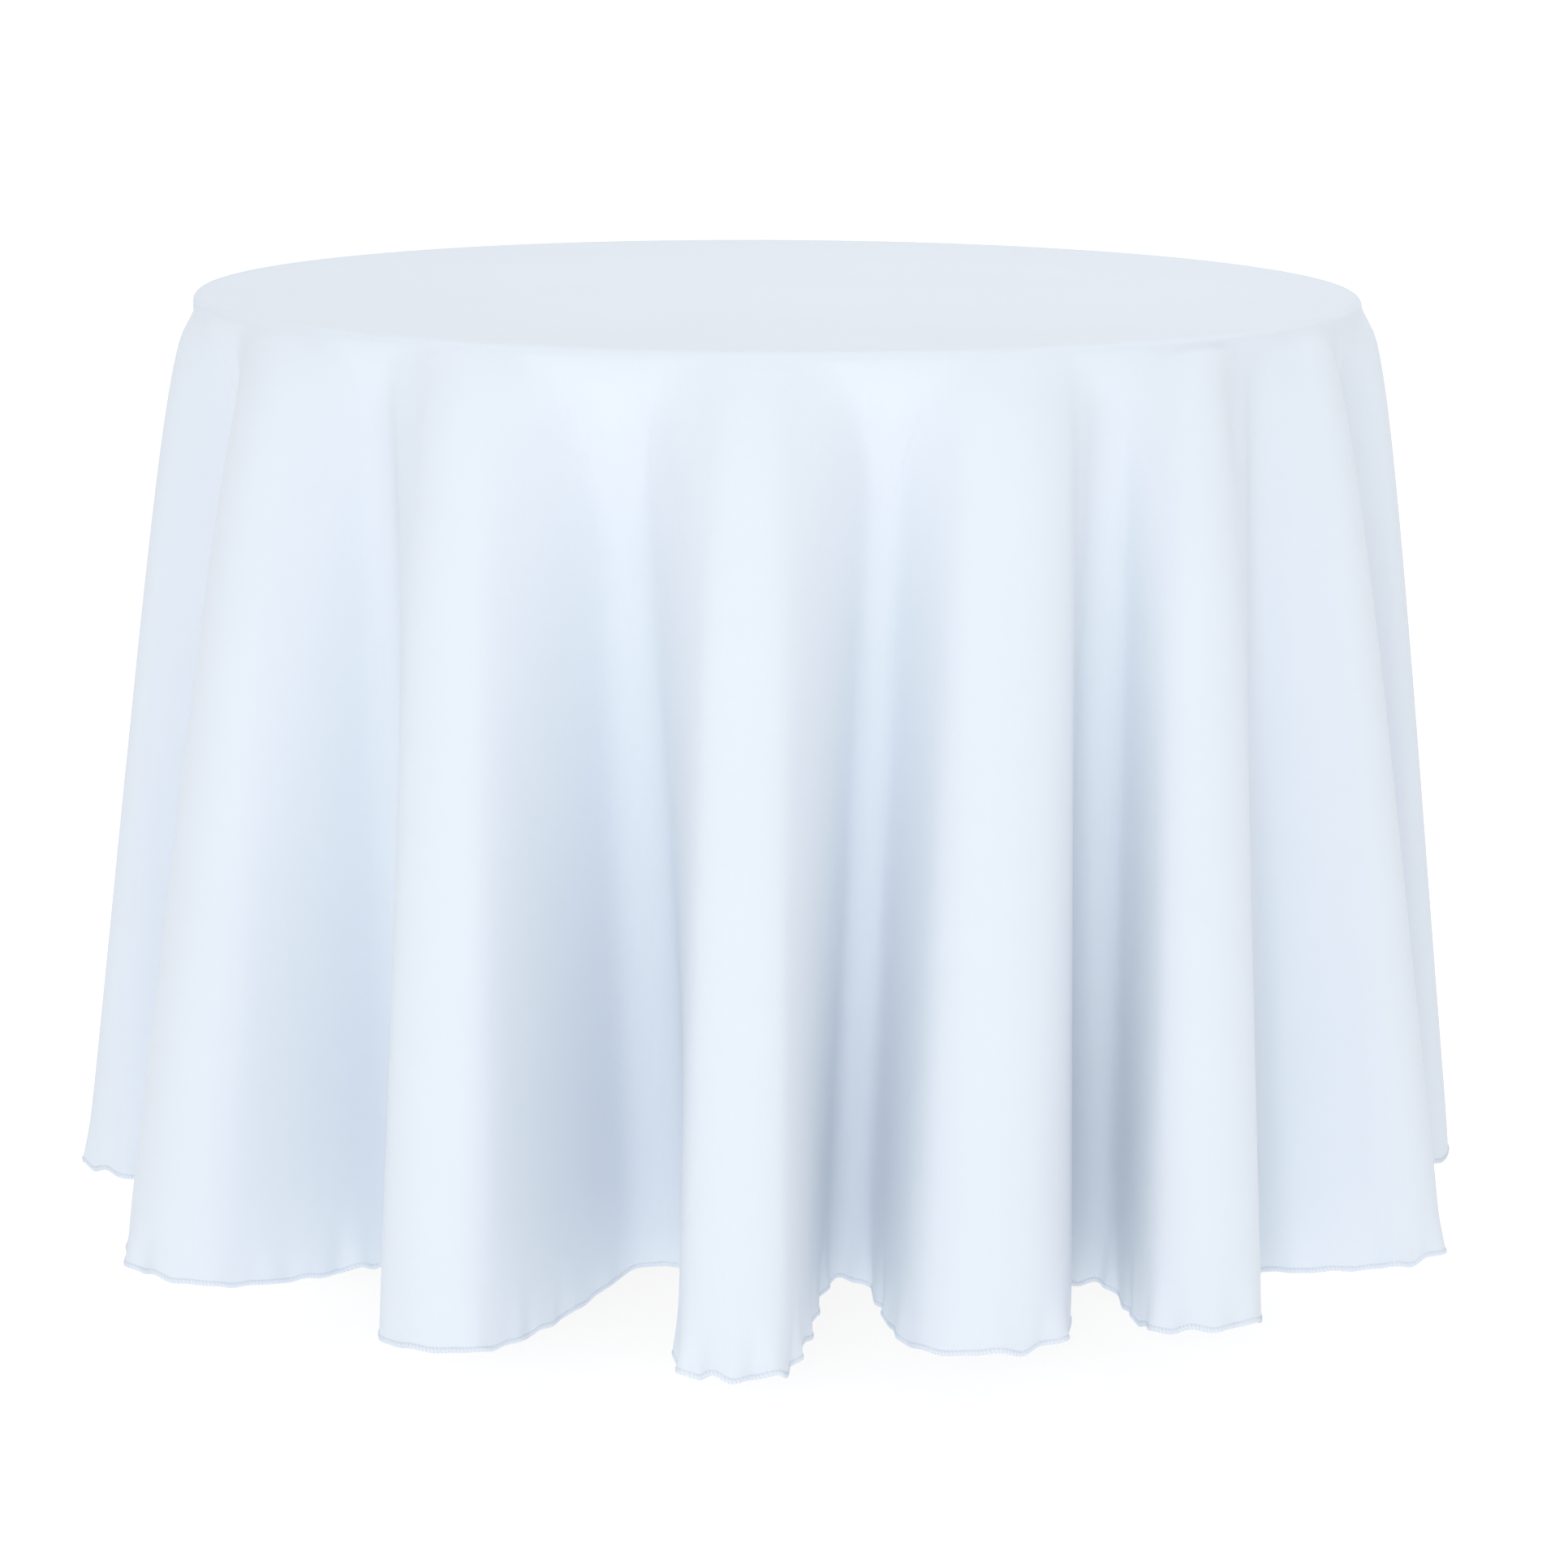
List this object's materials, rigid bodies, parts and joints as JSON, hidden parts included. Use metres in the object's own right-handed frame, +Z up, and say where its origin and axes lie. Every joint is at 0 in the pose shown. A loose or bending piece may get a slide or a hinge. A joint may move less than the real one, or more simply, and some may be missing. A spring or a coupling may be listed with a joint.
{
  "type": "draped round table",
  "caption": "Round cloth with a narrow overlocked hem, hanging in deep soft folds almost to the floor over a round folding table.",
  "frame": {"origin": "on the floor, under the middle of the table's board", "axes": "+Z up; -Y is the front, the side a person looks at; +X to that person's right, along which the legs fold"},
  "size_m": [1.121, 1.2038, 0.7613],
  "materials": {
    "cloth": "plain-woven spun polyester, very pale ice blue, matte",
    "edge_thread": "close overlock stitching in thread of the cloth's colour",
    "label": "plain white satin tape, nothing printed on it",
    "plywood": "satin lacquered birch plywood",
    "runner": "planed hardwood with eased edges",
    "moulding": "dark vinyl edge, satin",
    "frame": "grey hammered powder coat",
    "hardware": "bright zinc plate",
    "foot": "matte black"
  },
  "bodies": {
    "table_top": {"table_board": "plywood", "edge_moulding": "moulding", "runner_front": "runner", "runner_rear": "runner", "brace_hanger": "frame", "left_hanger_screw": "hardware", "right_hanger_screw": "hardware", "left_hanger_pin": "hardware", "right_hanger_pin": "hardware", "left_front_bracket": "frame", "left_rear_bracket": "frame", "right_front_bracket": "frame", "right_rear_bracket": "frame", "left_front_bracket_screw_1": "hardware", "left_front_bracket_screw_2": "hardware", "left_rear_bracket_screw_1": "hardware", "left_rear_bracket_screw_2": "hardware", "right_front_bracket_screw_1": "hardware", "right_front_bracket_screw_2": "hardware", "right_rear_bracket_screw_1": "hardware", "right_rear_bracket_screw_2": "hardware", "left_front_pivot_pin": "hardware", "left_rear_pivot_pin": "hardware", "right_front_pivot_pin": "hardware", "right_rear_pivot_pin": "hardware"},
    "cloth": {"tablecloth": "cloth", "overlocked_edge": "edge_thread", "care_label": "label"},
    "left_legs": {"left_pivot_tube": "frame", "left_stretcher": "frame", "left_leg_front": "frame", "left_leg_rear": "frame", "left_foot_front": "foot", "left_foot_rear": "foot", "left_pivot_plug_front": "foot", "left_pivot_plug_rear": "foot", "left_brace_lug": "frame", "left_lug_pin": "hardware"},
    "right_legs": {"right_pivot_tube": "frame", "right_stretcher": "frame", "right_leg_front": "frame", "right_leg_rear": "frame", "right_foot_front": "foot", "right_foot_rear": "foot", "right_pivot_plug_front": "foot", "right_pivot_plug_rear": "foot", "right_brace_lug": "frame", "right_lug_pin": "hardware"},
    "left_brace_upper": {"left_upper_link": "frame", "left_knee_rivet_inner": "hardware"},
    "left_brace_lower": {"left_lower_link": "frame", "left_knee_rivet_outer": "hardware"},
    "right_brace_upper": {"right_upper_link": "frame", "right_knee_rivet_inner": "hardware"},
    "right_brace_lower": {"right_lower_link": "frame", "right_knee_rivet_outer": "hardware"}
  },
  "joints": [
    {"name": "cloth_lift", "type": "slide", "parent": "table_top", "child": "cloth", "axis": [0, 0, 1], "range_m": [0, 0.75]},
    {"name": "left_leg_fold", "type": "hinge", "parent": "table_top", "child": "left_legs", "pos_m": [-0.3, 0, 0.7], "axis": [0, -1, 0], "range_deg": [0, 90]},
    {"name": "right_leg_fold", "type": "hinge", "parent": "table_top", "child": "right_legs", "pos_m": [0.3, 0, 0.666], "axis": [0, 1, 0], "range_deg": [0, 90]},
    {"name": "left_upper_link_fold", "type": "hinge", "parent": "table_top", "child": "left_brace_upper", "pos_m": [-0.03, 0, 0.722], "axis": [0, 1, 0], "range_deg": [0, 41.9]},
    {"name": "left_lower_link_fold", "type": "hinge", "parent": "left_legs", "child": "left_brace_lower", "pos_m": [-0.278, 0, 0.5], "axis": [0, -1, 0], "range_deg": [0, 48.2]},
    {"name": "right_upper_link_fold", "type": "hinge", "parent": "table_top", "child": "right_brace_upper", "pos_m": [0.03, 0, 0.688], "axis": [0, -1, 0], "range_deg": [0, 41.9]},
    {"name": "right_lower_link_fold", "type": "hinge", "parent": "right_legs", "child": "right_brace_lower", "pos_m": [0.278, 0, 0.466], "axis": [0, 1, 0], "range_deg": [0, 48.2]}
  ],
  "couplings": [
    {"joint": "left_upper_link_fold", "follows": "left_leg_fold", "ratio": 0.46482},
    {"joint": "left_lower_link_fold", "follows": "left_leg_fold", "ratio": 0.53518},
    {"joint": "right_upper_link_fold", "follows": "right_leg_fold", "ratio": 0.46482},
    {"joint": "right_lower_link_fold", "follows": "right_leg_fold", "ratio": 0.53518}
  ]
}
